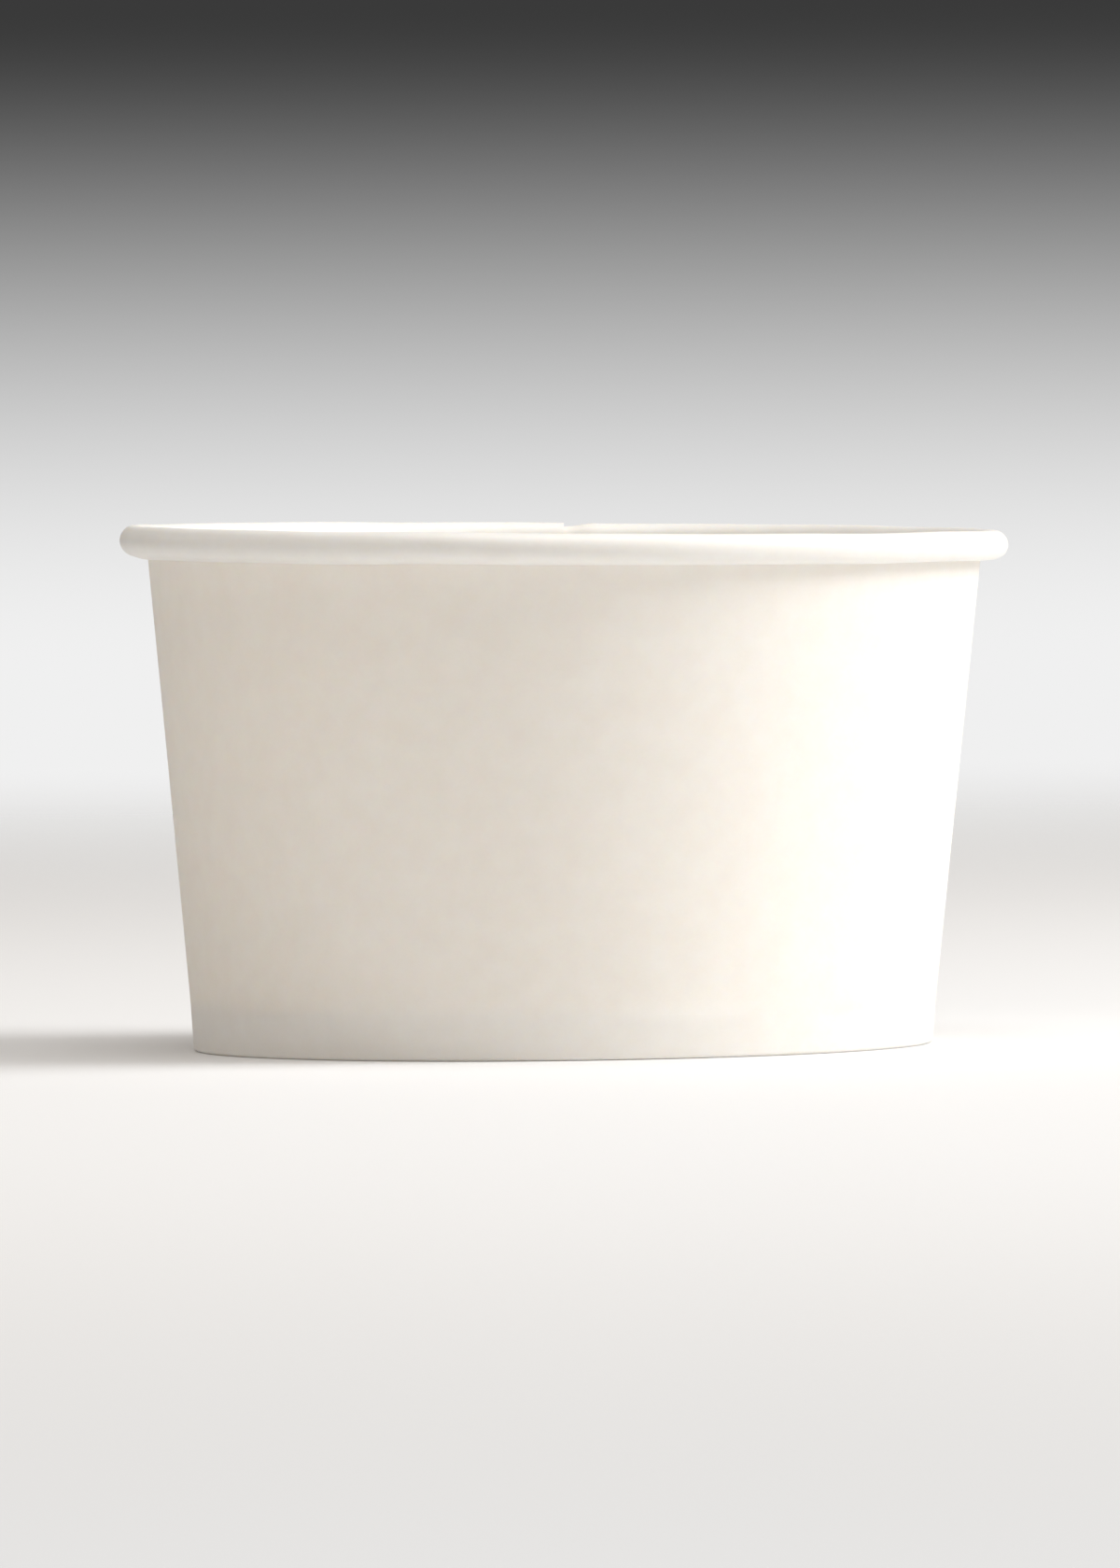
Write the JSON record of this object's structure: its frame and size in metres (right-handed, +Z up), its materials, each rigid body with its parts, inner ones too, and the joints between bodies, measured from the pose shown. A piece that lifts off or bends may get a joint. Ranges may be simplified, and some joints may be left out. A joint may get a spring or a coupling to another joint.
{
  "type": "paper sundae cup",
  "caption": "Squat round paper cup with a tapered wall, a rolled rim, a lapped side seam and a recessed, crimped base.",
  "frame": {"origin": "centre of the circle that the cup stands on, at the bottom of its folded foot", "axes": "+Z up along the cup's axis, out of its mouth; +Y towards the lapped side seam, at the back; +X to the right seen from the front"},
  "size_m": [0.095, 0.095, 0.0555],
  "materials": {
    "sidewall_board": "bleached cup board, coated, matt",
    "base_board": "bleached cup board, coated, matt"
  },
  "bodies": {
    "root": {"sidewall": "sidewall_board", "base_disc": "base_board"}
  },
  "joints": []
}
